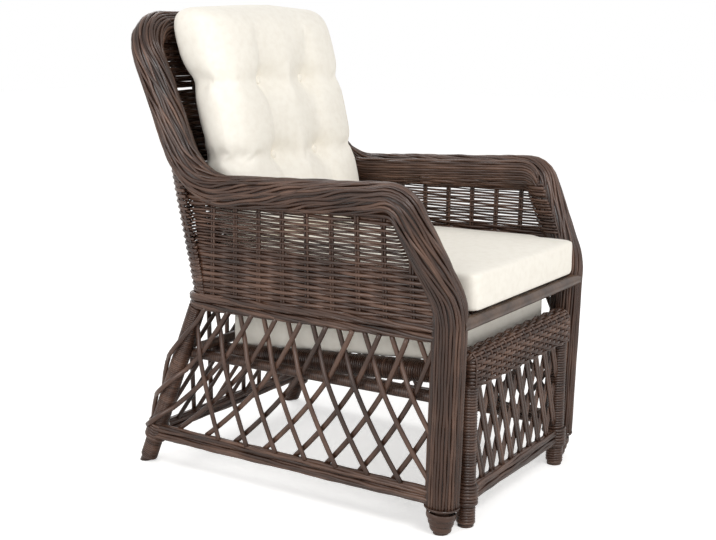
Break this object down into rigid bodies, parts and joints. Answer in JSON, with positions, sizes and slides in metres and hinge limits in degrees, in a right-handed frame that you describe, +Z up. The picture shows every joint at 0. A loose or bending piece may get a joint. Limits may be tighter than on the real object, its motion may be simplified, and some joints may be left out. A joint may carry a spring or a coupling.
{
  "type": "rattan armchair with pull-out footrest",
  "caption": "Dark woven rattan armchair with rolled borders and a lattice skirt, loose buttoned cushions and a padded footrest that slides out from under the seat.",
  "frame": {"origin": "on the floor, in the middle of the chair's footprint", "axes": "+Z up, -Y to the front of the seat, +X to the sitter's left"},
  "size_m": [0.6424, 0.8013, 0.977],
  "materials": {
    "rattan": "dark brown stained cane, semi-gloss",
    "cotton": "off-white plain woven cotton, matt"
  },
  "bodies": {
    "chair": {"arm_weave_left": "rattan", "arm_weave_right": "rattan", "back_post_left": "rattan", "back_post_right": "rattan", "back_weave": "rattan", "border_left": "rattan", "border_right": "rattan", "border_top": "rattan", "bottom_rail_left": "rattan", "bottom_rail_rear": "rattan", "bottom_rail_right": "rattan", "corner_weave_left": "rattan", "corner_weave_right": "rattan", "front_foot_bands": "rattan", "front_foot_wraps": "rattan", "front_leg_left": "rattan", "front_leg_right": "rattan", "lattice_left": "rattan", "lattice_rear": "rattan", "lattice_right": "rattan", "rear_leg_left": "rattan", "rear_leg_right": "rattan", "rear_leg_wrap_left": "rattan", "rear_leg_wrap_right": "rattan", "rear_rail_bindings": "rattan", "runner_left": "rattan", "runner_right": "rattan", "seat_front_rail": "rattan", "seat_rear_rail": "rattan", "seat_side_rail_left": "rattan", "seat_side_rail_right": "rattan", "seat_slats": "rattan", "waist_band_left": "rattan", "waist_band_rear": "rattan", "waist_band_right": "rattan"},
    "footrest": {"footrest_apron": "rattan", "footrest_bottom_rail": "rattan", "footrest_crossbar": "rattan", "footrest_cushion": "cotton", "footrest_front_rail": "rattan", "footrest_lattice": "rattan", "footrest_leg_left": "rattan", "footrest_leg_right": "rattan", "footrest_leg_wrap_left": "rattan", "footrest_leg_wrap_right": "rattan", "footrest_rail_bindings": "rattan", "footrest_side_rail_left": "rattan", "footrest_side_rail_right": "rattan", "footrest_side_wrap_left": "rattan", "footrest_side_wrap_right": "rattan", "footrest_slats": "rattan"},
    "seat_cushion": {"seat_cushion": "cotton"},
    "back_cushion": {"back_cushion": "cotton", "back_cushion_buttons": "cotton"}
  },
  "joints": [
    {"name": "footrest_slide", "type": "slide", "parent": "chair", "child": "footrest", "axis": [0, -1, 0], "range_m": [0, 0.5]},
    {"name": "seat_cushion_lift", "type": "slide", "parent": "chair", "child": "seat_cushion", "axis": [0, 0, 1], "range_m": [0, 0.25]},
    {"name": "back_cushion_lift", "type": "slide", "parent": "seat_cushion", "child": "back_cushion", "axis": [0, 0, 1], "range_m": [0, 0.3]}
  ]
}
